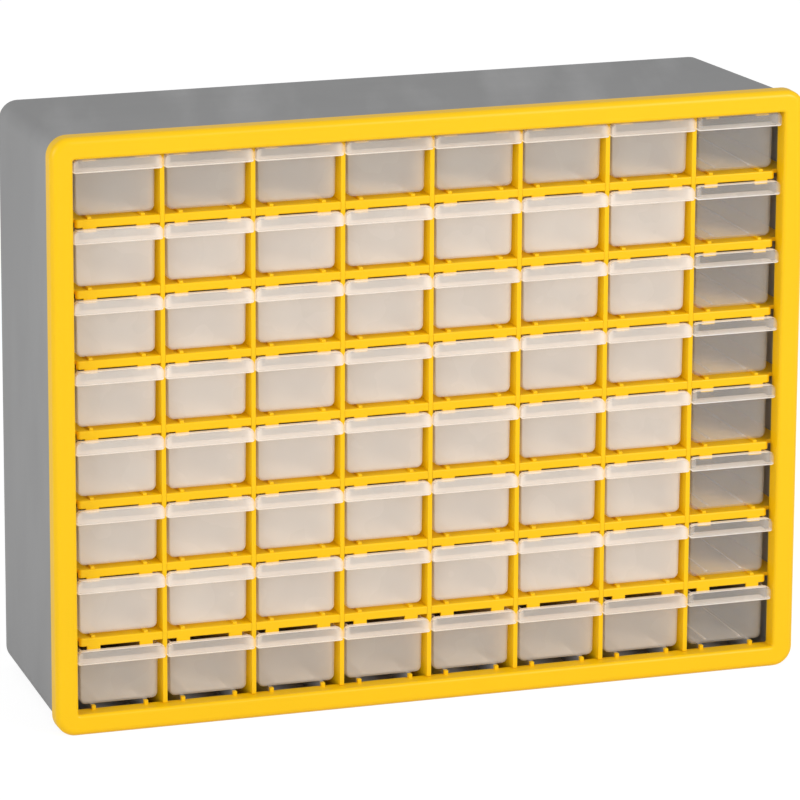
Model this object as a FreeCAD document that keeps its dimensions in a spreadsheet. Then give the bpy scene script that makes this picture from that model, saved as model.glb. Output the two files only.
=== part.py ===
# Parts bin cabinet: a grey casing, a yellow bezel, a lattice of dividers and
# shelves, and eight rows of translucent drawers that slide out to the front.
# The cabinet stands on the ground plane with its front towards -Y.
import FreeCAD, Part
import math
import os
import re

import Sketcher

# Driving sizes in millimetres. A setback is counted back from the bezel's face.
SIZES = {
    # The grid of cells
    "column_pitch": 58.9,
    "row_pitch": 45.1,
    "fit_gap": 0.3,
    # Bezel round the front
    "bezel_depth": 12.0,
    "bezel_face": 2.5,
    "bezel_wall": 2.0,
    "bezel_return": 2.5,
    "bezel_corner": 13.0,
    "bezel_outer_roll": 4.5,
    "bezel_inner_roll": 2.4,
    "side_border": 14.4,
    "bottom_border": 14.0,
    "top_border": 14.0,
    "opening_corner": 1.2,
    # Casing behind the bezel
    "cabinet_depth": 158.0,
    "case_wall": 2.6,
    "case_corner": 12.0,
    "case_rear_inset": 8.0,
    "case_rear_round": 2.4,
    "case_engagement": 6.0,
    "slit_width": 1.6,
    "slit_length": 12.0,
    "tongue_width": 9.0,
    "foot_length": 36.0,
    "foot_width": 14.0,
    "foot_corner": 3.0,
    "foot_inset": 34.0,
    "foot_rear_inset": 10.0,
    "keyhole_radius": 5.0,
    "keyhole_neck": 5.0,
    "keyhole_rise": 9.0,
    # Lattice of upright dividers and level shelves
    "grid_setback": 8.0,
    "divider_thickness": 2.8,
    "shelf_thickness": 2.4,
    "slot_gap": 0.15,
    "bead_height": 5.5,
    "bead_depth": 2.5,
    "bead_round": 1.0,
    "shelf_end_gap": 3.0,
    "shelf_end_round": 2.2,
    # Runners under the drawers and tabs that catch their backs
    "rail_height": 1.4,
    "rail_width": 2.4,
    "rail_spacing": 34.4,
    "rail_setback": 9.0,
    "peg_height": 2.7,
    "bottom_row_drop": 1.4,
    "tab_drop": 2.7,
    "tab_width": 8.5,
    "tab_depth": 2.0,
    # Drawers
    "lip_setback": 3.5,
    "lip_height": 9.0,
    "lip_rise": 0.8,
    "lip_gap": 1.2,
    "lip_corner": 1.6,
    "lip_shoulder": 4.0,
    "lip_round": 0.9,
    "panel_setback": 12.0,
    "panel_round": 1.1,
    "rear_room": 9.6,
    "drawer_side_gap": 2.1,
    "drawer_side_draft": 0.5,
    "drawer_head_gap": 1.2,
    "drawer_corner": 4.0,
    "drawer_wall": 1.2,
    "drawer_floor": 1.3,
    # How far a cutting shape runs past what it cuts
    "overrun": 1.0,
}

# Places given as shares of the cabinet's height or width.
SHARES = {
    "low_tongue_share": 0.311,
    "high_tongue_share": 0.7,
    "end_tongue_share": 0.404,
    "slot_share": 0.5,
    "keyhole_share": 0.9,
}

# How many of each there are. The lowest rows share one node for two drawers.
COLUMNS = 8
ROWS = 8
PAIRED_ROWS = 2
KEYHOLE_COLUMN = 2
COUNTS = {
    "columns": COLUMNS,
    "rows": ROWS,
    "keyhole_column": KEYHOLE_COLUMN,
}

# Sizes worked out from the driving ones.
DERIVED = {
    "half_opening": "columns * column_pitch / 2",
    "half_width": "half_opening + side_border",
    "floor_level": "bottom_border + peg_height - rail_height + bottom_row_drop",
    "opening_top": "floor_level + rows * row_pitch - bead_height",
    "cabinet_height": "opening_top + top_border",
    "case_step": "bezel_wall + fit_gap",
    "case_front": "bezel_depth - case_engagement",
    "case_taper": "(case_rear_inset - case_step) / (cabinet_depth - case_front)",
    "case_floor": "case_step + case_wall",
    "grid_shoulder": "bezel_depth + fit_gap",
    "grid_rear": "cabinet_depth - case_wall - fit_gap",
    "slot_end": "grid_setback + (grid_rear - grid_setback) * slot_share",
    "shelf_front_half": "half_opening - shelf_end_gap",
    "first_cell": "column_pitch / 2 - half_opening",
    "cell_height": "row_pitch - bead_height",
    "drawer_half": "(column_pitch - divider_thickness) / 2 - drawer_side_gap",
    "drawer_height": "cell_height - rail_height - fit_gap - drawer_head_gap",
    "drawer_rear": "grid_rear - rear_room",
    "drawer_length": "drawer_rear - panel_setback",
    "lip_half": "(column_pitch - lip_gap) / 2",
    "lip_top": "drawer_height + lip_rise",
    "lip_bottom": "lip_top - lip_height",
    "lip_back": "grid_setback - fit_gap",
    "keyhole_x": "half_opening - (keyhole_column - 1 / 2) * column_pitch",
    "keyhole_level": "cabinet_height * keyhole_share",
}

CELL_WORDS = {**SIZES, **SHARES, **COUNTS}

# The least share of a body's volume that a cut must remove.
SMALLEST_CUT = 1e-6

# Places closer than this share of the cabinet's depth are the same.
SAME_SHARE = 1e-6


def formula(text):
    """Write a formula on the sheet's cells from one in plain size names."""

    def cell(match):
        word = match.group()
        if word in DERIVED:
            return "(" + formula(DERIVED[word]) + ")"
        return "Sizes." + word if word in CELL_WORDS else word

    return re.sub(r"[a-z][a-z_]*", cell, text)


def make_sheet(doc):
    """Put every driving size into a spreadsheet cell under its own name."""
    sheet = doc.addObject("Spreadsheet::Sheet", "Sizes")
    for line, (word, number) in enumerate(CELL_WORDS.items(), start=1):
        sheet.set(f"A{line}", word)
        sheet.set(f"B{line}", str(number))
        sheet.setAlias(f"B{line}", word)
    doc.recompute()
    return sheet


def make_body(doc, label):
    """Start a body that carries one piece, with the bezel's face at y = 0."""
    body = doc.addObject("PartDesign::Body", label)
    body.Label = label
    return body


def origin_part(body, role):
    """Find a plane or axis of the body's own origin."""
    return next(part for part in body.Origin.OriginFeatures if part.Role == role)


def make_sketch(body, name, plane, offset="0"):
    """Start a sketch on one of the body's origin planes, moved along its normal."""
    sketch = body.newObject("Sketcher::SketchObject", name)
    sketch.AttachmentSupport = (origin_part(body, plane), [""])
    sketch.MapMode = "FlatFace"
    sketch.setExpression("AttachmentOffset.Base.z", formula(offset))
    return sketch


def front_sketch(body, name, setback):
    """Start a sketch seen from the front (x to the right, z up) at a setback."""
    return make_sketch(body, name, "XZ_Plane", f"-({setback})")


def number(holder, text):
    """Work out a formula as a plain number."""
    return float(holder.evalExpression(formula(text)))


def same_place(doc, one, other):
    """Say whether two places along a line are the same."""
    return abs(one - other) < number(doc.Sizes, "cabinet_depth") * SAME_SHARE


def drive(sketch, index, text):
    """Tie one constraint of a sketch to a formula."""
    sketch.setExpression(f"Constraints[{index}]", formula(text))


def pin_point(sketch, point, across, up):
    """Hold a sketch point at a place given by two formulas."""
    for kind, text in (("DistanceX", across), ("DistanceY", up)):
        value = number(sketch, text)
        index = sketch.addConstraint(Sketcher.Constraint(kind, -1, 1, *point, value))
        drive(sketch, index, text)


def rounded_ends(before, corner, after, radius):
    """Give the two tangent points of a rounded corner and the arc's middle."""
    back = (before - corner).normalize()
    ahead = (after - corner).normalize()
    half_angle = back.getAngle(ahead) / 2
    reach = radius / math.tan(half_angle)
    middle = (back + ahead).normalize()
    centre = corner + middle * (radius / math.sin(half_angle))
    return corner + back * reach, corner + ahead * reach, centre - middle * radius


def radius_of(sketch, corner):
    """Work out the radius of a corner given as (x, y, radius)."""
    return number(sketch, corner[2])


def add_outline(sketch, corners):
    """Draw a closed outline. Each corner is (x, y) or (x, y, radius), as formulas."""
    count = len(corners)
    places = [FreeCAD.Vector(number(sketch, c[0]), number(sketch, c[1]), 0) for c in corners]
    ends = []
    for index, corner in enumerate(corners):
        if len(corner) > 2:
            radius = radius_of(sketch, corner)
            before, after = places[index - 1], places[(index + 1) % count]
            ends.append(rounded_ends(before, places[index], after, radius))
        else:
            ends.append((places[index], places[index], None))
    lines = [
        sketch.addGeometry(Part.LineSegment(ends[i][1], ends[(i + 1) % count][0]))
        for i in range(count)
    ]
    for index, corner in enumerate(corners):
        arriving, leaving = lines[index - 1], lines[index]
        if len(corner) == 2:
            sketch.addConstraint(Sketcher.Constraint("Coincident", arriving, 2, leaving, 1))
            pin_point(sketch, (leaving, 1), *corner)
            continue
        start, end, middle = ends[index]
        arc = sketch.addGeometry(Part.Arc(start, middle, end))
        turned = sketch.getPoint(arc, 1).distanceToPoint(start) > radius_of(sketch, corner) / 2
        first, last = (2, 1) if turned else (1, 2)
        sketch.addConstraint(Sketcher.Constraint("Tangent", arriving, 2, arc, first))
        sketch.addConstraint(Sketcher.Constraint("Tangent", arc, last, leaving, 1))
        value = radius_of(sketch, corner)
        size = sketch.addConstraint(Sketcher.Constraint("Radius", arc, value))
        drive(sketch, size, corner[2])
        tip = sketch.addGeometry(Part.Point(places[index]), True)
        sketch.addConstraint(Sketcher.Constraint("PointOnObject", tip, 1, arriving))
        sketch.addConstraint(Sketcher.Constraint("PointOnObject", tip, 1, leaving))
        pin_point(sketch, (tip, 1), corner[0], corner[1])
    return sketch


def box_corners(left, right, low, high, low_radius=None, high_radius=None):
    """List the corners of a rectangle, rounded at the bottom or the top."""
    low_round = (low_radius,) if low_radius else ()
    high_round = (high_radius,) if high_radius else ()
    return [
        (left, low) + low_round,
        (right, low) + low_round,
        (right, high) + high_round,
        (left, high) + high_round,
    ]


def pair_boxes(sketch, centre, spacing, width, low, high):
    """Draw two equal rectangles, side by side about a centre line."""
    for side in ("-", "+"):
        place = f"({centre}) {side} {spacing} / 2"
        add_outline(
            sketch,
            box_corners(f"{place} - {width} / 2", f"{place} + {width} / 2", low, high),
        )
    return sketch


def add_circle(sketch, across, up, radius):
    """Draw a circle whose centre and radius are formulas."""
    centre = FreeCAD.Vector(number(sketch, across), number(sketch, up), 0)
    circle = Part.Circle(centre, FreeCAD.Vector(0, 0, 1), number(sketch, radius))
    ring = sketch.addGeometry(circle)
    index = sketch.addConstraint(Sketcher.Constraint("Radius", ring, number(sketch, radius)))
    drive(sketch, index, radius)
    pin_point(sketch, (ring, 3), across, up)
    return sketch


def pad(body, name, sketch, length, backwards=False):
    """Raise a sketch by a length along its normal, or against it."""
    feature = body.newObject("PartDesign::Pad", name)
    feature.Profile = sketch
    feature.setExpression("Length", formula(length))
    feature.Reversed = backwards
    body.Document.recompute()
    return feature


def pocket(body, name, sketch, length, backwards=False):
    """Sink a sketch by a length and make sure that it removed something."""
    before = body.Shape.Volume
    feature = body.newObject("PartDesign::Pocket", name)
    feature.Profile = sketch
    feature.setExpression("Length", formula(length))
    feature.Reversed = backwards
    body.Document.recompute()
    if body.Shape.Volume > before * (1 - SMALLEST_CUT):
        raise ValueError(f"{name} cuts nothing from {body.Label}")
    return feature


def repeat(body, name, feature, axis, pitch, count):
    """Repeat a feature in a straight line along one of the body's axes."""
    pattern = body.newObject("PartDesign::LinearPattern", name)
    pattern.Originals = [feature]
    pattern.Direction = (origin_part(body, axis), [""])
    pattern.Mode = "Spacing"
    pattern.setExpression("Offset", formula(pitch))
    pattern.setExpression("Occurrences", formula(count))
    body.Tip = pattern
    body.Document.recompute()
    return pattern


def edges_at(body, setback, wanted=None):
    """Name the edges that lie flat at a setback, or those of them wanted."""
    place = number(body.Document.Sizes, setback)
    names = []
    for index, edge in enumerate(body.Shape.Edges, start=1):
        box = edge.BoundBox
        flat = all(same_place(body.Document, y, place) for y in (box.YMin, box.YMax))
        if flat and (wanted is None or wanted(edge)):
            names.append(f"Edge{index}")
    return names


def fillet(body, name, radius, names):
    """Round the named edges of the body's latest shape."""
    feature = body.newObject("PartDesign::Fillet", name)
    feature.Base = (body.Tip if body.Tip is not feature else feature.BaseFeature, names)
    feature.setExpression("Radius", formula(radius))
    body.Document.recompute()
    return feature


def cell_runners(body, name, setback, length, low, high):
    """Raise two runners in the first cell and repeat them along the columns."""
    sketch = front_sketch(body, name + "_outline", setback)
    pair_boxes(sketch, "first_cell", "rail_spacing", "rail_width", low, high)
    runners = pad(body, name, sketch, length, backwards=True)
    return repeat(body, name + "_row", runners, "X_Axis", "column_pitch", "columns")


def cell_tabs(body, name, low, high):
    """Hang two tabs at the front of the first cell and repeat them along the columns."""
    sketch = front_sketch(body, name + "_outline", "grid_setback")
    pair_boxes(sketch, "first_cell", "rail_spacing", "tab_width", low, high)
    tabs = pad(body, name, sketch, "tab_depth", backwards=True)
    return repeat(body, name + "_row", tabs, "X_Axis", "column_pitch", "columns")


def front_outline(body, name, setback, side_inset, low, top_inset, radius):
    """Draw a rounded front outline of the cabinet, inset from its overall size."""
    corners = box_corners(
        f"-(half_width - ({side_inset}))",
        f"half_width - ({side_inset})",
        low,
        f"cabinet_height - ({top_inset})",
        radius,
        radius,
    )
    return add_outline(front_sketch(body, name, setback), corners)


def make_bezel(doc):
    """Build the yellow frame: a rolled face, a return and a channel for the casing."""
    body = make_body(doc, "front_bezel")
    face = front_outline(body, "bezel_face_outline", "0", "0", "0", "0", "bezel_corner")
    pad(body, "bezel_block", face, "bezel_depth", backwards=True)
    window = add_outline(
        front_sketch(body, "window_outline", "0"),
        box_corners(
            "-half_opening",
            "half_opening",
            "bottom_border",
            "opening_top",
            "opening_corner",
            "opening_corner",
        ),
    )
    pocket(body, "window", window, "bezel_depth")
    face_edges = edges_at(body, "0", lambda edge: borders_window(doc, edge))
    fillet(body, "inner_roll", "bezel_inner_roll", face_edges)
    face_edges = edges_at(body, "0", lambda edge: not borders_window(doc, edge))
    fillet(body, "outer_roll", "bezel_outer_roll", face_edges)
    channel = front_outline(
        body,
        "channel_outline",
        "bezel_depth",
        "bezel_wall",
        "bezel_wall",
        "bezel_wall",
        "bezel_corner - bezel_wall",
    )
    add_outline(
        channel,
        box_corners(
            "-(half_opening + bezel_return)",
            "half_opening + bezel_return",
            "bottom_border - bezel_return",
            "opening_top + bezel_return",
        ),
    )
    pocket(body, "channel", channel, "bezel_depth - bezel_face", backwards=True)
    cell_runners(
        body,
        "peg",
        "rail_setback",
        "bezel_depth - rail_setback",
        "bottom_border - overrun",
        "bottom_border + peg_height",
    )
    cell_tabs(body, "tab", "opening_top - tab_drop", "opening_top + overrun")
    return body


def borders_window(doc, edge):
    """Say whether an edge of the bezel's face borders the window."""
    middle = edge.CenterOfMass
    reach = number(doc.Sizes, "half_opening + side_border / 2")
    low = number(doc.Sizes, "bottom_border / 2")
    high = number(doc.Sizes, "opening_top + top_border / 2")
    return abs(middle.x) < reach and low < middle.z < high


def make_casing(doc):
    """Build the grey shell: tapered sides and top, integral back, runners and feet."""
    body = make_body(doc, "casing")
    front_half, rear_half = "half_width - case_step", "half_width - case_rear_inset"
    plan = add_outline(
        make_sketch(body, "case_plan", "XY_Plane", "case_step"),
        [
            (f"-({front_half})", "case_front"),
            (front_half, "case_front"),
            (rear_half, "cabinet_depth"),
            (f"-({rear_half})", "cabinet_depth"),
        ],
    )
    pad(body, "case_block", plan, "cabinet_height - 2 * case_step")
    slope = add_outline(
        make_sketch(body, "case_slope", "YZ_Plane", "-half_width"),
        [
            ("case_front", "cabinet_height - case_step"),
            ("cabinet_depth", "cabinet_height - case_rear_inset"),
            ("cabinet_depth", "cabinet_height"),
        ],
    )
    pocket(body, "top_slope", slope, "2 * half_width", backwards=True)
    half_depth = number(doc.Sizes, "cabinet_depth / 2")
    long_edges = [
        f"Edge{index}"
        for index, edge in enumerate(body.Shape.Edges, start=1)
        if edge.BoundBox.YLength > half_depth
    ]
    fillet(body, "case_corners", "case_corner", long_edges)
    fillet(body, "case_rear_edge", "case_rear_round", edges_at(body, "cabinet_depth"))
    hollow_out(body, "hollow", "case_front", "case_wall")
    cut_tongues(body)
    cell_runners(
        body,
        "floor_rib",
        "grid_shoulder",
        "drawer_rear - grid_shoulder",
        "case_floor - case_wall / 2",
        "bottom_border + peg_height",
    )
    add_feet(body)
    cut_keyholes(body)
    return body


def hollow_out(body, name, setback, wall):
    """Empty a block through its flat front, leaving an even wall inside its faces."""
    front = number(body.Document.Sizes, setback)
    block = body.Tip
    mouth = [
        f"Face{index}"
        for index, face in enumerate(block.Shape.Faces, start=1)
        if same_place(body.Document, face.CenterOfMass.y, front)
    ]
    feature = body.newObject("PartDesign::Thickness", name)
    feature.Base = (block, mouth)
    feature.setExpression("Value", formula(wall))
    feature.Reversed = True
    feature.Join = "Intersection"
    body.Document.recompute()
    return feature


def cut_tongues(body):
    """Slit the casing's front edge in pairs, so that each pair frees a springy tongue."""
    sketch = front_sketch(body, "slit_outline", "case_front")
    reach = "case_floor + overrun"
    for side in ("-1", "1"):
        for level in ("low_tongue_share", "high_tongue_share"):
            for edge in ("-", "+"):
                middle = f"cabinet_height * {level} {edge} tongue_width / 2"
                inner = f"{side} * (half_width - {reach})"
                outer = f"{side} * half_width"
                left, right = (outer, inner) if side == "-1" else (inner, outer)
                low, high = f"{middle} - slit_width / 2", f"{middle} + slit_width / 2"
                add_outline(sketch, box_corners(left, right, low, high))
                across = f"{side} * half_width * 2 * end_tongue_share {edge} tongue_width / 2"
                left, right = f"{across} - slit_width / 2", f"{across} + slit_width / 2"
                low, high = ("0", reach) if level == "low_tongue_share" else (
                    f"cabinet_height - ({reach})",
                    "cabinet_height",
                )
                add_outline(sketch, box_corners(left, right, low, high))
    pocket(body, "slits", sketch, "slit_length")


def add_feet(body):
    """Stand the casing's rear on two low feet, level with the bezel's lower edge."""
    sketch = make_sketch(body, "foot_outline", "XY_Plane")
    rear = "cabinet_depth - foot_rear_inset"
    for side in ("-1", "1"):
        outer = f"{side} * (half_width - foot_inset)"
        inner = f"{side} * (half_width - foot_inset - foot_length)"
        left, right = (outer, inner) if side == "-1" else (inner, outer)
        corners = box_corners(
            left, right, f"{rear} - foot_width", rear, "foot_corner", "foot_corner"
        )
        add_outline(sketch, corners)
    pad(body, "feet", sketch, "case_step + case_wall / 2")


def cut_keyholes(body):
    """Cut two keyholes through the back, for hanging the cabinet on screws."""
    setback = "cabinet_depth - case_wall - overrun"
    heads = front_sketch(body, "keyhole_outline", setback)
    necks = front_sketch(body, "keyhole_neck_outline", setback)
    for side in ("-1", "1"):
        add_circle(heads, f"{side} * keyhole_x", "keyhole_level", "keyhole_radius")
        corners = box_corners(
            f"{side} * keyhole_x - keyhole_neck / 2",
            f"{side} * keyhole_x + keyhole_neck / 2",
            "keyhole_level",
            "keyhole_level + keyhole_rise + keyhole_neck / 2",
            None,
            "keyhole_neck / 2 - slot_gap",
        )
        add_outline(necks, corners)
    for name, sketch in (("keyhole_heads", heads), ("keyhole_necks", necks)):
        pocket(body, name, sketch, "case_wall + 2 * overrun")


def wall_gap(depth):
    """Give the inset at which the lattice clears the tapered casing at a depth."""
    return f"case_step + case_wall + fit_gap + case_taper * ({depth} - case_front)"


def make_divider(doc):
    """Build one upright divider, slotted from the rear to take the shelves."""
    body = make_body(doc, "divider_pattern")
    outline = make_sketch(body, "divider_outline", "YZ_Plane", "-divider_thickness / 2")
    add_outline(
        outline,
        [
            ("grid_setback", "bottom_border + fit_gap"),
            ("grid_shoulder", "bottom_border + fit_gap"),
            ("grid_shoulder", "case_floor + fit_gap"),
            ("grid_rear", "case_floor + fit_gap"),
            ("grid_rear", f"cabinet_height - ({wall_gap('grid_rear')})"),
            ("grid_shoulder", f"cabinet_height - ({wall_gap('grid_shoulder')})"),
            ("grid_shoulder", "opening_top - fit_gap"),
            ("grid_setback", "opening_top - fit_gap"),
        ],
    )
    pad(body, "divider_plate", outline, "divider_thickness")
    slot = make_sketch(body, "slot_outline", "YZ_Plane", "-divider_thickness / 2")
    top = "floor_level + row_pitch"
    add_outline(
        slot,
        box_corners(
            "slot_end",
            "grid_rear + overrun",
            f"{top} - shelf_thickness - slot_gap",
            f"{top} + slot_gap",
        ),
    )
    cut = pocket(body, "slot", slot, "divider_thickness", backwards=True)
    repeat(body, "slots", cut, "Z_Axis", "row_pitch", "rows - 1")
    return body


def make_shelf(doc):
    """Build one shelf with its front bead, runners and tabs, slotted from the front."""
    body = make_body(doc, "shelf_pattern")
    outline = make_sketch(body, "shelf_outline", "XY_Plane", "-shelf_thickness")
    shoulder = f"half_width - ({wall_gap('grid_shoulder')})"
    rear = f"half_width - ({wall_gap('grid_rear')})"
    add_outline(
        outline,
        [
            ("-shelf_front_half", "grid_setback", "shelf_end_round"),
            ("shelf_front_half", "grid_setback", "shelf_end_round"),
            ("shelf_front_half", "grid_shoulder"),
            (shoulder, "grid_shoulder"),
            (rear, "grid_rear"),
            (f"-({rear})", "grid_rear"),
            (f"-({shoulder})", "grid_shoulder"),
            ("-shelf_front_half", "grid_shoulder"),
        ],
    )
    pad(body, "shelf_plate", outline, "shelf_thickness")
    bead = make_sketch(body, "bead_outline", "XY_Plane", "-bead_height")
    add_outline(
        bead,
        box_corners(
            "-shelf_front_half",
            "shelf_front_half",
            "grid_setback",
            "grid_setback + bead_depth",
            "shelf_end_round",
        ),
    )
    pad(body, "bead", bead, "bead_height")
    pitch = number(doc.Sizes, "column_pitch")
    long_edges = edges_at(body, "grid_setback", lambda edge: edge.BoundBox.XLength > pitch)
    fillet(body, "bead_roll", "bead_round", long_edges)
    rail_length = "drawer_rear - rail_setback"
    cell_runners(body, "rail", "rail_setback", rail_length, "-shelf_thickness / 2", "rail_height")
    cell_tabs(body, "tab", "-bead_height - tab_drop", "-bead_height / 2")
    slot = make_sketch(body, "slot_outline", "XY_Plane", "-bead_height - overrun")
    first_bar = "column_pitch - half_opening"
    half_slot = "(divider_thickness / 2 + slot_gap)"
    add_outline(
        slot,
        box_corners(
            f"{first_bar} - {half_slot}",
            f"{first_bar} + {half_slot}",
            "grid_setback - overrun",
            "slot_end + fit_gap",
        ),
    )
    cut = pocket(body, "slot", slot, "bead_height + 2 * overrun", backwards=True)
    repeat(body, "slots", cut, "X_Axis", "column_pitch", "columns - 1")
    return body


def make_drawer(doc):
    """Build one open drawer: a rounded tray whose front steps out into a pull lip."""
    body = make_body(doc, "drawer_pattern")
    tray = add_outline(
        front_sketch(body, "tray_outline", "panel_setback"),
        [
            ("-(drawer_half - drawer_side_draft)", "0", "drawer_corner"),
            ("drawer_half - drawer_side_draft", "0", "drawer_corner"),
            ("drawer_half", "drawer_height"),
            ("-drawer_half", "drawer_height"),
        ],
    )
    pad(body, "tray", tray, "drawer_length", backwards=True)
    lip = add_outline(
        front_sketch(body, "lip_outline", "lip_setback"),
        box_corners(
            "-lip_half", "lip_half", "lip_bottom", "lip_top", "lip_corner", "lip_shoulder"
        ),
    )
    pad(body, "lip", lip, "lip_back - lip_setback", backwards=True)
    neck = add_outline(
        front_sketch(body, "neck_outline", "lip_setback + drawer_wall"),
        box_corners("-drawer_half", "drawer_half", "lip_bottom", "drawer_height"),
    )
    pad(body, "neck", neck, "panel_setback - lip_setback", backwards=True)
    fillet(body, "lip_front_edge", "lip_round", edges_at(body, "lip_setback"))
    round_below(body, "panel_edge", "panel_setback", "lip_bottom")
    round_below(body, "rear_edge", "drawer_rear", "drawer_height")
    foot = "drawer_half - drawer_side_draft - drawer_wall"
    hollow = add_outline(
        front_sketch(body, "hollow_outline", "panel_setback + drawer_wall"),
        [
            (f"-({foot})", "drawer_floor", "drawer_corner - drawer_wall"),
            (foot, "drawer_floor", "drawer_corner - drawer_wall"),
            ("drawer_half - drawer_wall", "drawer_height + overrun"),
            ("-(drawer_half - drawer_wall)", "drawer_height + overrun"),
        ],
    )
    pocket(body, "hollow", hollow, "drawer_length - 2 * drawer_wall")
    hollow_lip(body)
    return body


def hollow_lip(body):
    """Open the lip and its neck to the drawer, leaving a level ledge on the lip."""
    inside, lip_end = "lip_setback + drawer_wall", "lip_back - drawer_wall"
    neck_end, mouth_end = "lip_back + drawer_wall", "panel_setback + 3 / 2 * drawer_wall"
    foot, ledge = "lip_bottom + drawer_wall", "lip_top - drawer_wall"
    lip_width, neck_width = "(lip_half - drawer_wall)", "(drawer_half - drawer_wall)"
    rounds = ("lip_corner - drawer_wall", "lip_shoulder - drawer_wall")
    cuts = [
        ("lip_hollow", inside, lip_end, lip_width, ledge, rounds),
        ("neck_hollow", inside, neck_end, neck_width, ledge, ()),
        ("mouth", "lip_back", mouth_end, neck_width, "lip_top + overrun", ()),
    ]
    for name, start, end, half, top, corners in cuts:
        sketch = front_sketch(body, name + "_outline", start)
        add_outline(sketch, box_corners("-" + half, half, foot, top, *corners))
        pocket(body, name, sketch, f"{end} - ({start})")


def round_below(body, name, setback, top):
    """Round a drawer's edges at a setback, all but the level one at the top."""
    level = number(body.Document.Sizes, top)

    def lies_below(edge):
        return not same_place(body.Document, edge.BoundBox.ZMin, level)

    fillet(body, name, "panel_round", edges_at(body, setback, lies_below))


def place(body, across="0", up="0"):
    """Set a piece at its place, with the cabinet centred over the origin."""
    body.setExpression("Placement.Base.x", formula(across))
    body.setExpression("Placement.Base.y", formula("-cabinet_depth / 2"))
    body.setExpression("Placement.Base.z", formula(up))
    return body


def copy_of(doc, master, label, across="0", up="0"):
    """Make another body of the same shape as a master, at its own place."""
    body = make_body(doc, label)
    base = doc.addObject("PartDesign::FeatureBase", label + "_shape")
    base.BaseFeature = master
    body.Group = [base]
    body.Tip = base
    return place(body, across, up)


def group(doc, label, bodies):
    """Keep several equal pieces together in one node, as separate solids."""
    compound = doc.addObject("Part::Compound", label)
    compound.Label = label
    compound.Links = bodies
    return compound


def make_dividers(doc):
    """Set a copy of the divider between every two columns."""
    master = make_divider(doc)
    copies = [
        copy_of(doc, master, f"divider_{bar}", f"{bar} * column_pitch - half_opening")
        for bar in range(1, COLUMNS)
    ]
    return group(doc, "column_dividers", copies)


def make_shelves(doc):
    """Set a copy of the shelf between every two rows."""
    master = make_shelf(doc)
    copies = [
        copy_of(doc, master, f"shelf_{level}", "0", f"floor_level + {level} * row_pitch")
        for level in range(1, ROWS)
    ]
    return group(doc, "row_shelves", copies)


def drawer_copy(doc, master, label, row, column):
    """Set a copy of the drawer in its cell, just clear of the runners."""
    across = f"first_cell + {column - 1} * column_pitch"
    up = f"floor_level + {ROWS - row} * row_pitch + rail_height + fit_gap"
    if row == ROWS:
        up += " - bottom_row_drop"
    return copy_of(doc, master, label, across, up)


def make_drawers(doc):
    """Fill every cell, with the drawers of the lowest rows in pairs."""
    master = make_drawer(doc)
    nodes = []
    for row in range(1, ROWS + 1):
        paired = row > ROWS - PAIRED_ROWS
        for column in range(1, COLUMNS + 1, 2 if paired else 1):
            name = f"drawer_row{row}_col{column}"
            if not paired:
                nodes.append(drawer_copy(doc, master, name, row, column))
                continue
            both = [
                drawer_copy(doc, master, f"single_row{row}_col{column + step}", row, column + step)
                for step in range(2)
            ]
            nodes.append(group(doc, f"drawers_row{row}_col{column}_{column + 1}", both))
    return nodes


def check(doc, pieces):
    """Stop if any object failed or any piece's shape is not sound."""
    failed = [o.Label for o in doc.Objects if {"Invalid", "Error"} & set(o.State)]
    if failed:
        raise ValueError(f"not built: {failed}")
    for piece in pieces:
        if piece.Shape.isNull() or not piece.Shape.isValid():
            raise ValueError(f"shape of {piece.Label} is not sound")


def main():
    """Build the cabinet and write one file for each piece."""
    doc = FreeCAD.newDocument("Cabinet")
    make_sheet(doc)
    pieces = [place(make_bezel(doc)), place(make_casing(doc))]
    pieces += [make_dividers(doc), make_shelves(doc)]
    pieces += make_drawers(doc)
    doc.recompute()
    check(doc, pieces)
    os.makedirs("parts", exist_ok=True)
    for piece in pieces:
        piece.Shape.exportStep(f"parts/{piece.Label}.step")
    print(len(pieces), "pieces written")


main()
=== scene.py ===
"""Looks of a parts bin cabinet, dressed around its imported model.

A grey casing carries a yellow front frame, a lattice of yellow dividers and
shelves, and rows of frosted drawers. Sizes are in millimetres and become metres
where they meet Blender, apart from those whose description says metres.
"""

import logging
import math
import re
from dataclasses import dataclass, field
from enum import Enum
from typing import Iterable

import bmesh
import bpy
from mathutils import Matrix, Quaternion, Vector

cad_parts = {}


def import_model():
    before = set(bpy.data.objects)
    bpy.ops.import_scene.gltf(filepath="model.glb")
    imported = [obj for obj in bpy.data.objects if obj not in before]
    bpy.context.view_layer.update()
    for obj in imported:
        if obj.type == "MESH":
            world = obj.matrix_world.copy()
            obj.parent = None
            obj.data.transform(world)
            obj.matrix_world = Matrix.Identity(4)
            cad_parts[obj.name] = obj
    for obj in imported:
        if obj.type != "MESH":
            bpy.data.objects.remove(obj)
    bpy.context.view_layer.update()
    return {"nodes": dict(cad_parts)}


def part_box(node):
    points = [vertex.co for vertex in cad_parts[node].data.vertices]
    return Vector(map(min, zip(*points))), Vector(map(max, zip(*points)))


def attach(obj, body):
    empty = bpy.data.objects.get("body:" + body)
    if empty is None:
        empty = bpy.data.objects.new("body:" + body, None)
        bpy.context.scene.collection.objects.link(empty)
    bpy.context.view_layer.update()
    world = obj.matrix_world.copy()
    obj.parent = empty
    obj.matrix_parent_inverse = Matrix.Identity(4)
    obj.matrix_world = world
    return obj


LOG = logging.getLogger("cabinet")
MM = 0.001
WHITE = (1.0, 1.0, 1.0, 1.0)

Colour = tuple[float, float, float]
Triple = tuple[float, float, float]
Range = tuple[float, float]
Socket = bpy.types.NodeSocket
Nodes = dict[str, bpy.types.Object]


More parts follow.
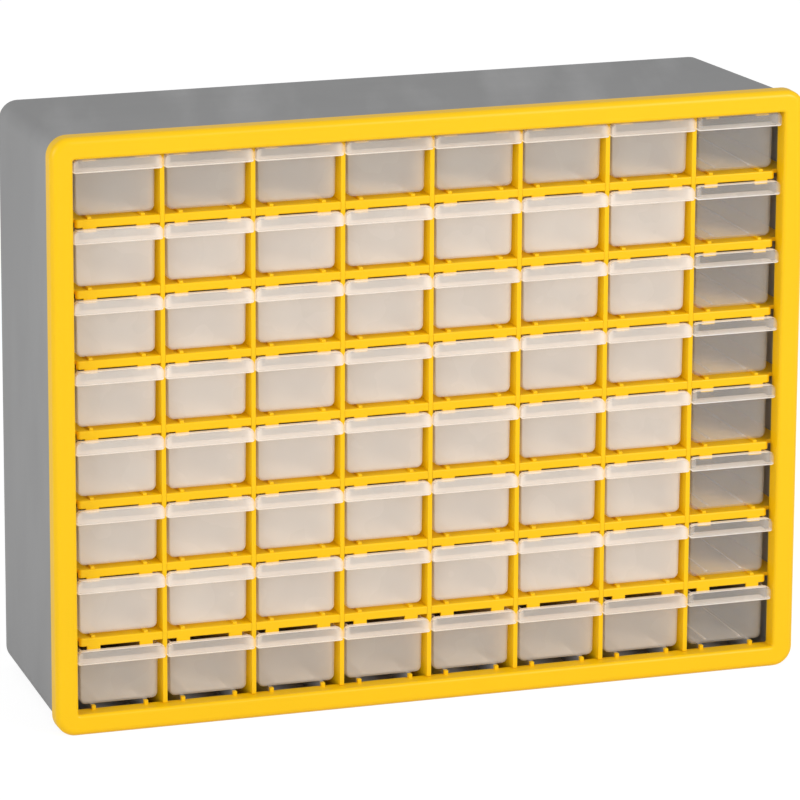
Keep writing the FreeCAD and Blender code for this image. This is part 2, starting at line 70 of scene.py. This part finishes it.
class Slot(Enum):
    """Names for the finishes of the new pieces."""

    CASING = "casing_grey"
    DRAWER = "drawer_clear"


class Body(Enum):
    """The bodies that carry fixed pieces."""

    CABINET = "cabinet"


class Part(Enum):
    """The parts of a drawer, told apart by how clouded they look."""

    PANEL = "panel"
    LIP = "lip"
    RIM = "rim"
    TRAY = "tray"


class Surround(Enum):
    """What lies around a drawer, which picks the copy of its finish. The copies for outer drawers
    are clearer, and beside the shell cooler, as painted shade that makes them look darker through
    their walls.
    """

    DRAWERS = "inner"
    SHELL_ABOVE_OR_BELOW = "edge"
    SHELL_BESIDE = "side"


@dataclass(frozen=True)
class Noise:
    """A noise pattern that is fixed to the piece.

    Attributes:
        scale: Waves in one metre.
        detail: Octaves of finer noise.
        stretch: How much the pattern is packed along each axis.
        turn: How far it is turned about the upright axis, in degrees.
    """

    scale: float
    detail: float = 2.0
    stretch: Triple = (1.0, 1.0, 1.0)
    turn: float = 0.0


class Recipe:
    """A node tree, built one named step at a time."""

    def __init__(self, owner: bpy.types.Material | bpy.types.World) -> None:
        """Start with an empty tree.

        Args:
            owner: The material or world that the tree belongs to.
        """
        owner.use_nodes = True
        self.owner = owner
        self.tree = owner.node_tree
        self.tree.nodes.clear()

    def step(
        self, kind: str, settings: dict[str, object] | None = None, **inputs: object
    ) -> bpy.types.Node:
        """Add a node and fill its sockets.

        Args:
            kind: Blender's name of the node type.
            settings: Values of the node's own properties.
            **inputs: Socket values or sockets to link. A name's underscores stand for spaces.

        Returns:
            The new node.
        """
        node = self.tree.nodes.new(kind)
        for name, value in (settings or {}).items():
            setattr(node, name, value)
        for name, value in inputs.items():
            self.feed(node, name.replace("_", " "), value)
        return node

    def feed(self, node: bpy.types.Node, name: str, value: object) -> None:
        """Set one socket, or link it where the value is a socket.

        Args:
            node: The node that owns the socket.
            name: The socket's name.
            value: A number, a colour, a vector or an output socket.
        """
        socket = next(s for s in node.inputs if s.name == name and s.enabled)
        if isinstance(value, Socket):
            self.tree.links.new(value, socket)
        else:
            socket.default_value = value

    def coordinates(self) -> Socket:
        """Add the places on the piece's surface, in metres."""
        return self.step("ShaderNodeTexCoord").outputs["Object"]

    def pattern(self, noise: Noise) -> Socket:
        """Add a noise pattern, turned first and then stretched.

        Args:
            noise: The pattern.

        Returns:
            The pattern's value, from 0 to 1.
        """
        place = self.coordinates()
        if noise.turn:
            angles = (0.0, 0.0, math.radians(noise.turn))
            turned = self.step("ShaderNodeMapping", Vector=place, Rotation=angles)
            place = turned.outputs["Vector"]
        packed = self.step("ShaderNodeMapping", Vector=place, Scale=noise.stretch)
        waves = self.step(
            "ShaderNodeTexNoise",
            Vector=packed.outputs["Vector"],
            Scale=noise.scale,
            Detail=noise.detail,
        )
        return waves.outputs["Fac"]

    def spread(
        self, value: Socket, low: float, high: float, limits: Range = (0.3, 0.7)
    ) -> Socket:
        """Map a value's range to a range of numbers.

        Args:
            value: The value, such as a pattern.
            low: The number at the first limit.
            high: The number at the second.
            limits: The value's range. A pattern keeps mostly to its middle.

        Returns:
            The mapped value.
        """
        node = self.step("ShaderNodeMapRange", Value=value)
        names = ("From Min", "From Max", "To Min", "To Max")
        for name, number in zip(names, (*limits, low, high)):
            self.feed(node, name, number)
        return node.outputs["Result"]

    def bump(
        self, height: Socket, distance: float, strength: float, under: Socket | None = None
    ) -> Socket:
        """Raise a surface by a pattern.

        Args:
            height: The pattern.
            distance: How high it stands, in millimetres.
            strength: How strongly it shades.
            under: The normal of a bump that lies under this one, if there is one.

        Returns:
            The surface's normal.
        """
        node = self.step("ShaderNodeBump", Height=height, Distance=distance * MM, Strength=strength)
        if under is not None:
            self.feed(node, "Normal", under)
        return node.outputs["Normal"]

    def blend(self, amount: object, first: object, second: object) -> Socket:
        """Mix two colours.

        Args:
            amount: The share of the second colour.
            first: A colour or socket.
            second: A colour or socket.

        Returns:
            The mixed colour.
        """
        node = self.step("ShaderNodeMix", {"data_type": "RGBA"}, Factor=amount, A=first, B=second)
        return next(s for s in node.outputs if s.enabled)

    def mix_shaders(self, amount: object, first: Socket, second: Socket) -> Socket:
        """Mix two shaders.

        Args:
            amount: The share of the second shader, as a number or socket.
            first: A shader.
            second: A shader.

        Returns:
            The mixed shader.
        """
        node = self.step("ShaderNodeMixShader", Fac=amount)
        shaders = (s for s in node.inputs if s.name == "Shader")
        for shader, socket in zip((first, second), shaders):
            self.tree.links.new(shader, socket)
        return node.outputs["Shader"]

    def sum_of(self, operation: str, value: Socket, number: float) -> Socket:
        """Work out a sum of a value and a plain number.

        Args:
            operation: Blender's name of the sum.
            value: The first value.
            number: The second.

        Returns:
            The result.
        """
        node = self.step("ShaderNodeMath", {"operation": operation})
        first, second = (s for s in node.inputs if s.enabled)
        self.tree.links.new(value, first)
        second.default_value = number
        return node.outputs["Value"]

    def finish(self, shader: Socket) -> bpy.types.Material:
        """Close a material's tree.

        Args:
            shader: The surface's shader.

        Returns:
            The finished material.
        """
        self.step("ShaderNodeOutputMaterial", Surface=shader)
        return self.owner


def opaque(colour: Colour, factor: float = 1.0) -> tuple[float, float, float, float]:
    """Give a colour its alpha, brightened or darkened by a factor."""
    red, green, blue = (min(1.0, channel * factor) for channel in colour)
    return (red, green, blue, 1.0)


@dataclass(frozen=True)
class MouldedPlastic:
    """Opaque injection-moulded plastic with a fine grain and light scuffs.

    Attributes:
        label: The material's name.
        colour: The plastic's colour.
        shade_swing: How far broad patches are lighter or darker than the colour.
        streak_gain: How much lighter the long flow streaks are.
        scuff_gain: How much lighter the rubbed, slanting scuffs are.
        roughness: The surface's mean roughness.
        roughness_swing: How far the streaks are rougher or smoother.
        gloss: Strength of the surface's mirror-like reflection.
        patches: The broad patches and sinks.
        streaks: The flow streaks.
        scuffs: The scuffs.
        scuff_shares: How much of a scuff shows from its lows to its peaks. None shows under 0.
        grain: The mould's grain.
        grain_height: Height of the grain.
        grain_strength: How strongly the grain shades.
        sink_height: Height of the broad waves.
        sink_strength: How strongly the waves shade.
    """

    label: str
    colour: Colour
    shade_swing: float = 0.05
    streak_gain: float = 1.0
    scuff_gain: float = 1.0
    roughness: float = 0.42
    roughness_swing: float = 0.06
    gloss: float = 0.5
    patches: Noise = Noise(9.0, 3.0)
    streaks: Noise = Noise(6.0, 4.0, (1.0, 5.0, 0.8))
    scuffs: Noise = Noise(4.5, 5.0, (6.0, 0.9, 0.4), 16.0)
    scuff_shares: Range = (-0.8, 1.0)
    grain: Noise = Noise(1800.0, 1.0)
    grain_height: float = 0.02
    grain_strength: float = 0.6
    sink_height: float = 0.3
    sink_strength: float = 0.4

    def material(self) -> bpy.types.Material:
        """Build the node material.

        Returns:
            The finished material.
        """
        recipe = Recipe(bpy.data.materials.new(self.label))
        patches = recipe.pattern(self.patches)
        base = recipe.blend(
            recipe.spread(patches, 0.0, 1.0),
            opaque(self.colour, 1 - self.shade_swing),
            opaque(self.colour, 1 + self.shade_swing),
        )
        streaks = recipe.pattern(self.streaks)
        streaked = opaque(self.colour, self.streak_gain)
        base = recipe.blend(recipe.spread(streaks, 0.0, 1.0), base, streaked)
        rubbed = recipe.spread(recipe.pattern(self.scuffs), *self.scuff_shares)
        base = recipe.blend(rubbed, base, opaque(self.colour, self.scuff_gain))
        grain = recipe.bump(recipe.pattern(self.grain), self.grain_height, self.grain_strength)
        smooth, rough = self.roughness - self.roughness_swing, self.roughness + self.roughness_swing
        surface = recipe.step(
            "ShaderNodeBsdfPrincipled",
            Base_Color=base,
            Roughness=recipe.spread(streaks, smooth, rough),
            Normal=recipe.bump(patches, self.sink_height, self.sink_strength, grain),
            Specular_IOR_Level=self.gloss,
        )
        return recipe.finish(surface.outputs["BSDF"])


@dataclass(frozen=True)
class Bands:
    """The thinner, clearer bands that run along each column of trays.

    Attributes:
        middle: The first column's middle, in metres.
        pitch: The distance from column to column, in metres.
        half: How far from a column's middle a band begins, in metres.
        blur: Over what distance it begins, in metres.
        cover: How clouded it is.
    """

    middle: float
    pitch: float
    half: float
    blur: float
    cover: float

    def covers(self, recipe: Recipe, between: float) -> Socket:
        """Give the clouding across the columns.

        Args:
            recipe: The material that it is for.
            between: How clouded the trays are between their bands.

        Returns:
            The clouding at each place.
        """
        axes = recipe.step("ShaderNodeSeparateXYZ", Vector=recipe.coordinates())
        offset = recipe.sum_of("SUBTRACT", axes.outputs["X"], self.middle)
        distance = recipe.sum_of("PINGPONG", offset, self.pitch / 2)
        limits = (self.half - self.blur / 2, self.half + self.blur / 2)
        return recipe.spread(distance, between, self.cover, limits)


@dataclass(frozen=True)
class FrostedPlastic:
    """Thin translucent plastic, slightly clouded.

    Attributes:
        label: The material's name.
        colour: The plastic's own pale colour.
        cover: The share of light that the clouding scatters rather than passes.
        glow: The share of light that the wall scatters on through itself.
        bands: The clearer bands along the columns, if there are any.
        lamp_pass: The share of lamp light that reaches what lies behind.
        roughness: The surface's mean roughness.
        roughness_swing: How far the clouds are smoother and rougher.
        ior: How strongly the plastic bends light.
        clouds: The clouds in the plastic.
        cloud_shades: The colour's brightness in the clouds' dark and light parts.
        flow_height: Height of the waves that the clouds leave on the surface.
        flow_strength: How strongly those waves shade.
    """

    label: str
    colour: Colour
    cover: float
    glow: float
    bands: Bands | None = None
    lamp_pass: float = 0.92
    roughness: float = 0.25
    roughness_swing: Range = (-0.05, 0.08)
    ior: float = 1.49
    clouds: Noise = Noise(28.0)
    cloud_shades: Range = (0.96, 1.03)
    flow_height: float = 0.3
    flow_strength: float = 0.12

    def material(self) -> bpy.types.Material:
        """Build the node material.

        Returns:
            The finished material.
        """
        recipe = Recipe(bpy.data.materials.new(self.label))
        clouds = recipe.pattern(self.clouds)
        dark, light = (opaque(self.colour, shade) for shade in self.cloud_shades)
        base = recipe.blend(recipe.spread(clouds, 0.0, 1.0), dark, light)
        flow = recipe.bump(clouds, self.flow_height, self.flow_strength)
        smooth, rough = (self.roughness + swing for swing in self.roughness_swing)
        skin = recipe.step(
            "ShaderNodeBsdfPrincipled",
            Base_Color=base,
            Roughness=recipe.spread(clouds, smooth, rough),
            Alpha=self.bands.covers(recipe, self.cover) if self.bands else self.cover,
            Normal=flow,
            IOR=self.ior,
        )
        through = recipe.step("ShaderNodeBsdfTranslucent", Color=base, Normal=flow)
        both = recipe.mix_shaders(self.glow, skin.outputs["BSDF"], through.outputs["BSDF"])
        lamp_ray = recipe.step("ShaderNodeLightPath").outputs["Is Shadow Ray"]
        opened = recipe.sum_of("MULTIPLY", lamp_ray, self.lamp_pass)
        gap = recipe.step("ShaderNodeBsdfTransparent", Color=WHITE)
        return recipe.finish(recipe.mix_shaders(opened, both, gap.outputs["BSDF"]))


def dress(obj: bpy.types.Object, material: bpy.types.Material) -> None:
    """Give a piece one finish all over.

    Args:
        obj: The piece.
        material: Its finish.
    """
    obj.data.materials.clear()
    obj.data.materials.append(material)
    for face in obj.data.polygons:
        face.material_index = 0


def dress_nodes(names: Iterable[str], material: bpy.types.Material, nodes: Nodes) -> None:
    """Give the same finish to several of the model's own nodes.

    Args:
        names: The nodes' names.
        material: Their finish.
        nodes: The frame's nodes.
    """
    for name in names:
        dress(nodes[name], material)
        LOG.info("dressed %s in %s", name, material.name)


def object_from(mesh: bmesh.types.BMesh, name: str) -> bpy.types.Object:
    """Turn a bmesh into an object of the scene.

    Args:
        mesh: The shape, in place and in metres. It is freed.
        name: The object's name.

    Returns:
        The new object.
    """
    data = bpy.data.meshes.new(name)
    mesh.to_mesh(data)
    mesh.free()
    obj = bpy.data.objects.new(name, data)
    bpy.context.scene.collection.objects.link(obj)
    return obj


def piece_from(
    mesh: bmesh.types.BMesh, name: str, material: bpy.types.Material, slot: Slot, body: str
) -> bpy.types.Object:
    """Turn a bmesh into a piece that rides on a body.

    Args:
        mesh: The shape, in place and in metres. It is freed.
        name: The piece's name.
        material: Its finish.
        slot: Not used.
        body: The body that carries it.

    Returns:
        The new piece.
    """
    obj = object_from(mesh, name)
    dress(obj, material)
    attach(obj, body)
    LOG.info("built %s with %d faces", name, len(obj.data.polygons))
    return obj


@dataclass(frozen=True)
class EjectorPins:
    """The grid of round marks that ejector pins leave on a moulded wall.

    Attributes:
        radius: A mark's radius.
        height: How high it stands.
        segments: Sides of its circle.
        columns: Marks side by side.
        rows: Marks above each other.
        field_share: The share of the wall that the grid takes up, each way.
    """

    radius: float = 4.5
    height: float = 0.35
    segments: int = 28
    columns: int = 5
    rows: int = 4
    field_share: float = 0.82

    def places(self, low: Vector, high: Vector) -> Iterable[Matrix]:
        """Work out where the marks lie on the back of a box.

        Args:
            low: The box's lowest corner, in metres.
            high: Its highest corner, in metres.

        Returns:
            A matrix for each mark, which turns its face to the rear.
        """
        outwards = Matrix.Rotation(math.radians(-90), 4, "X")
        for column in range(self.columns):
            for row in range(self.rows):
                across, up = (low.x + high.x) / 2, (low.z + high.z) / 2
                across += (column / (self.columns - 1) - 0.5) * (high.x - low.x) * self.field_share
                up += (row / (self.rows - 1) - 0.5) * (high.z - low.z) * self.field_share
                yield Matrix.Translation((across, high.y, up)) @ outwards


@dataclass
class Casing:
    """The grey shell and the marks that its mould leaves on the back.

    Attributes:
        finish: The shell's plastic.
        pins: The marks on the back.
    """

    finish: MouldedPlastic = MouldedPlastic(
        "grey_moulded",
        (0.268, 0.268, 0.27),
        shade_swing=0.07,
        streak_gain=1.1,
        scuff_gain=1.28,
        roughness=0.5,
        gloss=0.3,
    )
    pins: EjectorPins = EjectorPins()

    def build(self, nodes: Nodes) -> None:
        """Dress the shell and set the ejector marks on its back.

        Args:
            nodes: The frame's nodes.
        """
        material = self.finish.material()
        dress_nodes(["casing"], material, nodes)
        self.ejector_marks(material)

    def ejector_marks(self, material: bpy.types.Material) -> bpy.types.Object:
        """Model the low round marks on the back, with bevelled edges.

        Args:
            material: The shell's finish.

        Returns:
            The piece.
        """
        marks = bmesh.new()
        for place in self.pins.places(*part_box("casing")):
            disc = bmesh.ops.create_circle(
                marks,
                cap_ends=True,
                segments=self.pins.segments,
                radius=self.pins.radius * MM,
                matrix=place,
            )
            bmesh.ops.inset_individual(
                marks,
                faces=[disc["verts"][0].link_faces[0]],
                thickness=self.pins.height * MM,
                depth=self.pins.height * MM,
            )
        return piece_from(marks, "ejector_marks", material, Slot.CASING, Body.CABINET.value)


@dataclass
class FrontFrame:
    """The yellow front: the rolled frame, the dividers and the shelves.

    Attributes:
        finish: The plastic of all three.
    """

    finish: MouldedPlastic = MouldedPlastic(
        "yellow_moulded",
        (0.92, 0.55, 0.003),
        shade_swing=0.03,
        streak_gain=1.02,
        roughness=0.34,
        gloss=0.25,
    )

    def build(self, nodes: Nodes) -> None:
        """Dress the frame and the lattice.

        Args:
            nodes: The frame's nodes.
        """
        material = self.finish.material()
        dress_nodes(["front_bezel", "column_dividers", "row_shelves"], material, nodes)


@dataclass(frozen=True)
class Seat:
    """Where one drawer sits.

    Attributes:
        body: The body that carries the drawer.
        row: Its row, counted from the top.
        column: Its column, counted from the left.
        middle: The drawer's middle across the cabinet, in metres.
        low: The lowest corner of its node, in metres.
        high: The highest corner of its node, in metres.
    """

    body: str
    row: int
    column: int
    middle: float
    low: Vector
    high: Vector


@dataclass(frozen=True)
class Track:
    """The pair of low ridges along the floor of a tray.

    Attributes:
        spacing: The distance between the two ridges.
        width: A ridge's width.
        height: Its height.
        start: How far it starts behind the drawer's front.
        length: Its length.
        floor_thickness: Thickness of the floor that it stands on.
        rounding: How far its top edges are rounded.
        rounding_segments: Faces across that rounding.
    """

    spacing: float = 24.0
    width: float = 1.2
    height: float = 0.7
    start: float = 13.0
    length: float = 124.0
    floor_thickness: float = 1.3
    rounding: float = 0.25
    rounding_segments: int = 2

    def middles(self, seat: Seat) -> Iterable[Vector]:
        """Work out where a drawer's two ridges lie.

        Args:
            seat: The drawer.

        Returns:
            The middle of each ridge, in metres.
        """
        for side in (-1, 1):
            yield Vector(
                (
                    seat.middle + side * self.spacing / 2 * MM,
                    seat.low.y + (self.start + self.length / 2) * MM,
                    seat.low.z + (self.floor_thickness + self.height / 2) * MM,
                )
            )


@dataclass
class DrawerBank:
    """All drawers, with the tracks moulded into their floors.

    Attributes:
        tint: The plastic's colour.
        shaded_side_tint: Its colour beside the shell, cooler than the tint as painted shade for
            drawers that back on to the grey shell.
        panel_cover_and_shade: How clouded the front panel and the outside look in each surrounding;
            the outer drawers' clearer copies are painted shade, so that they look darker.
        tray_cover_and_shade: The same for the tray's inner faces, with the same painted shade.
        lip_share: The lip's clouding as a share of the panel's.
        rim_cover: How clouded the lip's edge and ledge look.
        glow: How much light each part scatters on through itself.
        front_depth: How deep the panel and its rounded edge reach.
        lip_depth: How deep the lip reaches.
        lip_height: The lip's height.
        rim_height: Height of the lip's lower edge.
        ledge_tilt_share: How far a face of the lip's ledge looks up, from 0 to 1 for straight up.
        band_start: How far from a drawer's middle its clearer bands begin.
        band_blur: Over what distance they begin.
        band_cover: How clouded they look.
        first_row: The row under the shell's top.
        last_row: The row above the shell's floor.
        last_column: The column beside the shell's right side.
        track: The ridges in the drawers' floors.
    """

    tint: Colour = (0.98, 0.9, 0.82)
    # Cooler tint for drawers beside the shell: painted shade, the plastic itself is the same.
    shaded_side_tint: Colour = (0.95, 0.91, 0.87)
    # Outer drawers get clearer copies so that they look darker: painted shade.
    panel_cover_and_shade: dict[Surround, float] = field(
        default_factory=lambda: {
            Surround.DRAWERS: 0.42,
            Surround.SHELL_ABOVE_OR_BELOW: 0.27,
            Surround.SHELL_BESIDE: 0.15,
        }
    )
    # The same painted shade for the trays' inner faces.
    tray_cover_and_shade: dict[Surround, float] = field(
        default_factory=lambda: {
            Surround.DRAWERS: 0.6,
            Surround.SHELL_ABOVE_OR_BELOW: 0.45,
            Surround.SHELL_BESIDE: 0.25,
        }
    )
    lip_share: float = 0.95
    rim_cover: float = 0.85
    glow: dict[Part, float] = field(
        default_factory=lambda: {
            Part.PANEL: 0.1,
            Part.LIP: 0.06,
            Part.RIM: 0.05,
            Part.TRAY: 0.12,
        }
    )
    front_depth: float = 9.8
    lip_depth: float = 8.4
    lip_height: float = 9.0
    rim_height: float = 1.1
    ledge_tilt_share: float = 0.7
    band_start: float = 13.5
    band_blur: float = 2.0
    band_cover: float = 0.06
    first_row: int = 1
    last_row: int = 8
    last_column: int = 8
    track: Track = Track()

    def build(self, nodes: Nodes) -> None:
        """Dress every drawer and lay the tracks in it.

        Args:
            nodes: The frame's nodes.
        """
        bands = self.bands()
        finishes = {surround: self.finishes(surround, bands) for surround in Surround}
        drawers = [name for name in nodes if name.startswith("drawer")]
        for name in drawers:
            seats = self.seats(name)
            self.paint(nodes[name], seats, finishes)
            self.tracks(seats, finishes[self.surround(seats[0])][Part.TRAY])

    def bands(self) -> Bands:
        """Work out the clearer bands from where the first two columns are.

        Returns:
            The bands.
        """
        first, second = (self.seats(f"drawer_row1_col{column}")[0].middle for column in (1, 2))
        start, blur = self.band_start * MM, self.band_blur * MM
        return Bands(first, second - first, start, blur, self.band_cover)

    def finishes(self, surround: Surround, bands: Bands) -> dict[Part, bpy.types.Material]:
        """Make the finishes of a drawer's parts for one surrounding, with painted shade for the
        outer drawers.

        Args:
            surround: What lies around the drawer.
            bands: The clearer bands along the trays.

        Returns:
            The finish of each part.
        """
        # Drawers beside the shell take the cooler tint, a painted shade.
        tint = self.shaded_side_tint if surround is Surround.SHELL_BESIDE else self.tint
        covers = {
            Part.PANEL: self.panel_cover_and_shade[surround],
            Part.LIP: self.panel_cover_and_shade[surround] * self.lip_share,
            Part.RIM: self.rim_cover,
            Part.TRAY: self.tray_cover_and_shade[surround],
        }
        made = {}
        for part, cover in covers.items():
            label = f"{part.value}_{surround.value}"
            held = bands if part is Part.TRAY else None
            made[part] = FrostedPlastic(label, tint, cover, self.glow[part], held).material()
        return made

    def surround(self, seat: Seat) -> Surround:
        """Tell what lies around a drawer.

        Args:
            seat: The drawer.

        Returns:
            Its surrounding.
        """
        # The right column and the top and bottom rows take the shaded copies of the finish.
        if seat.column == self.last_column:
            return Surround.SHELL_BESIDE
        if seat.row in (self.first_row, self.last_row):
            return Surround.SHELL_ABOVE_OR_BELOW
        return Surround.DRAWERS

    def part_at(self, seat: Seat, place: Vector, normal: Vector) -> Part:
        """Tell which part of a drawer a face belongs to.

        Args:
            seat: The drawer.
            place: The face's middle.
            normal: The way that it faces.

        Returns:
            The part.
        """
        depth = place.y - seat.low.y
        if depth < self.lip_depth * MM:
            above = place.z - (seat.high.z - self.lip_height * MM)
            is_ledge = normal.z > self.ledge_tilt_share
            return Part.RIM if is_ledge or above < self.rim_height * MM else Part.LIP
        inwards = (seat.low + seat.high) / 2 - place
        inwards.x = seat.middle - place.x
        is_inside = depth > self.front_depth * MM and normal.dot(inwards) > 0
        return Part.TRAY if is_inside else Part.PANEL

    def paint(
        self,
        node: bpy.types.Object,
        seats: list[Seat],
        finishes: dict[Surround, dict[Part, bpy.types.Material]],
    ) -> None:
        """Give each face of a node the finish of its part and surrounding, which paints shade on
        the outer drawers.

        Args:
            node: The node of one drawer or of a few side by side.
            seats: Its drawers.
            finishes: The finishes by surrounding and part.
        """
        data = node.data
        data.materials.clear()
        numbers: dict[str, int] = {}
        for face in data.polygons:
            seat = min(seats, key=lambda seat: abs(seat.middle - face.center.x))
            part = self.part_at(seat, face.center, face.normal)
            material = finishes[self.surround(seat)][part]
            if material.name not in numbers:
                numbers[material.name] = len(data.materials)
                data.materials.append(material)
            face.material_index = numbers[material.name]
        LOG.info("dressed %s in %s", node.name, ", ".join(numbers))

    def seats(self, name: str) -> list[Seat]:
        """Find the drawers of one node.

        Args:
            name: The node's name, which ends in its row and its columns. Its body shares it.

        Returns:
            A seat for each of its drawers.
        """
        low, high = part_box(name)
        row, column = (int(number) for number in re.findall(r"\d+", name)[:2])
        single_low, single_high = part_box("drawer_row1_col1")
        lip = single_high.x - single_low.x
        count = max(1, round((high.x - low.x) / lip))
        step = (high.x - low.x - lip) / max(1, count - 1)
        return [
            Seat(name, row, column + number, low.x + lip / 2 + step * number, low, high)
            for number in range(count)
        ]

    def tracks(self, seats: list[Seat], material: bpy.types.Material) -> bpy.types.Object:
        """Model the pair of low ridges along each drawer's floor.

        Args:
            seats: The drawers of one node.
            material: The drawers' finish.

        Returns:
            The piece.
        """
        track = self.track
        size = Vector((track.width, track.length, track.height)) * MM
        ridges = bmesh.new()
        for seat in seats:
            for middle in track.middles(seat):
                place = Matrix.Translation(middle) @ Matrix.Diagonal((*size, 1.0))
                bmesh.ops.create_cube(ridges, size=1.0, matrix=place)
        crest = seats[0].low.z + (track.floor_thickness + track.height / 2) * MM
        tops = [edge for edge in ridges.edges if all(v.co.z > crest for v in edge.verts)]
        bmesh.ops.bevel(
            ridges,
            geom=tops,
            offset=track.rounding * MM,
            offset_type="OFFSET",
            affect="EDGES",
            segments=track.rounding_segments,
            profile=0.5,
            material=-1,
        )
        body = seats[0].body
        return piece_from(ridges, f"{body}_tracks", material, Slot.DRAWER, body)


@dataclass(frozen=True)
class Lamp:
    """One soft square lamp that points at the cabinet.

    Attributes:
        name: The lamp's name.
        place: Where it hangs, in metres.
        size: Its side in metres.
        power: Its power in watts.
    """

    name: str
    place: Triple
    size: float
    power: float


@dataclass
class Studio:
    """A pale floor, soft lamps and a camera at the photograph's angle.

    Attributes:
        floor_size: The floor's side in metres.
        floor_cells: Cells along that side.
        floor_dark: The floor's colour in its darker patches.
        floor_light: Its colour in its lighter ones.
        floor_patches: The patches.
        floor_glow: The share of the floor that the camera sees as a plain white light.
        floor_white: Strength of that light.
        world_light: How strongly the surround lights the cabinet.
        world_seen: How bright the camera sees it.
        lamps: The lamps.
        aim: The place that the camera and the lamps point at, in metres.
        azimuth: The camera's turn about the cabinet, in degrees.
        elevation: Its tilt above the level, in degrees.
        roll: Its turn about its own line of sight, in degrees.
        distance: How far it stands from its aim, in metres.
        lens: Its focal length, which Blender takes in millimetres.
        sensor: Width of its sensor, which Blender takes in millimetres too.
        reach: How far it sees, in metres.
    """

    floor_size: float = 12.0
    floor_cells: int = 8
    floor_dark: Colour = (0.86, 0.86, 0.86)
    floor_light: Colour = (0.9, 0.9, 0.9)
    floor_patches: Noise = Noise(3.0)
    floor_glow: float = 0.75
    floor_white: float = 1.17
    world_light: float = 0.5
    world_seen: float = 1.0
    lamps: tuple[Lamp, ...] = (
        Lamp("key", (2.0, -3.0, 1.9), 1.2, 76.0),
        Lamp("fill", (-3.2, -1.2, 1.4), 1.8, 48.0),
    )
    aim: Triple = (-0.0234, -0.079, 0.2028)
    azimuth: float = -18.65
    elevation: float = 15.14
    roll: float = 0.3
    distance: float = 3.5213
    lens: float = 250.4
    sensor: float = 36.0
    reach: float = 50.0

    def build(self) -> None:
        """Set up the floor, the world, the lamps and the camera."""
        self.floor()
        self.world()
        for lamp in self.lamps:
            self.hang(lamp)
        self.camera()
        bpy.context.scene.view_settings.view_transform = "Standard"

    def floor(self) -> None:
        """Lay a pale floor that keeps the cabinet's shadow."""
        mesh = bmesh.new()
        cells = self.floor_cells
        bmesh.ops.create_grid(mesh, x_segments=cells, y_segments=cells, size=self.floor_size / 2)
        obj = object_from(mesh, "floor")
        recipe = Recipe(bpy.data.materials.new("pale_floor"))
        patches = recipe.pattern(self.floor_patches)
        paint = recipe.blend(patches, opaque(self.floor_dark), opaque(self.floor_light))
        matt = recipe.step("ShaderNodeBsdfDiffuse", Color=paint)
        seen = recipe.step("ShaderNodeLightPath").outputs["Is Camera Ray"]
        lift = recipe.step("ShaderNodeEmission", Color=WHITE, Strength=self.floor_white)
        part = recipe.sum_of("MULTIPLY", seen, self.floor_glow)
        share = recipe.mix_shaders(part, matt.outputs["BSDF"], lift.outputs["Emission"])
        dress(obj, recipe.finish(share))

    def world(self) -> None:
        """Give the studio an even pale surround that the camera sees as white."""
        recipe = Recipe(bpy.data.worlds.new("studio"))
        seen = recipe.step("ShaderNodeLightPath").outputs["Is Camera Ray"]
        strength = recipe.spread(seen, self.world_light, self.world_seen, (0.0, 1.0))
        sky = recipe.step("ShaderNodeBackground", Color=WHITE, Strength=strength)
        recipe.step("ShaderNodeOutputWorld", Surface=sky.outputs["Background"])
        bpy.context.scene.world = recipe.owner

    def hang(self, lamp: Lamp) -> None:
        """Hang one lamp and turn it to the cabinet.

        Args:
            lamp: The lamp.
        """
        data = bpy.data.lights.new(lamp.name, "AREA")
        data.size = lamp.size
        data.energy = lamp.power
        obj = bpy.data.objects.new(lamp.name, data)
        obj.location = lamp.place
        obj.rotation_mode = "QUATERNION"
        obj.rotation_quaternion = (Vector(self.aim) - obj.location).to_track_quat("-Z", "Y")
        bpy.context.scene.collection.objects.link(obj)

    def camera(self) -> None:
        """Set the camera at the photograph's angle, distance and framing."""
        data = bpy.data.cameras.new("camera")
        data.sensor_width = self.sensor
        data.lens = self.lens
        data.clip_end = self.reach
        obj = bpy.data.objects.new("camera", data)
        turn, tilt = math.radians(self.azimuth), math.radians(self.elevation)
        back = Vector(
            (math.sin(turn) * math.cos(tilt), -math.cos(turn) * math.cos(tilt), math.sin(tilt))
        )
        obj.location = Vector(self.aim) + back * self.distance
        obj.rotation_mode = "QUATERNION"
        level = (-back).to_track_quat("-Z", "Y")
        obj.rotation_quaternion = level @ Quaternion((0, 0, 1), math.radians(self.roll))
        bpy.context.scene.collection.objects.link(obj)
        bpy.context.scene.camera = obj


def main() -> None:
    """Load the frame, build each sub-assembly on it and set up the studio."""
    logging.basicConfig(level=logging.INFO, format="%(name)s: %(message)s")
    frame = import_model()
    nodes = frame["nodes"]
    Casing().build(nodes)
    FrontFrame().build(nodes)
    DrawerBank().build(nodes)
    Studio().build()


if __name__ == "__main__":
    main()
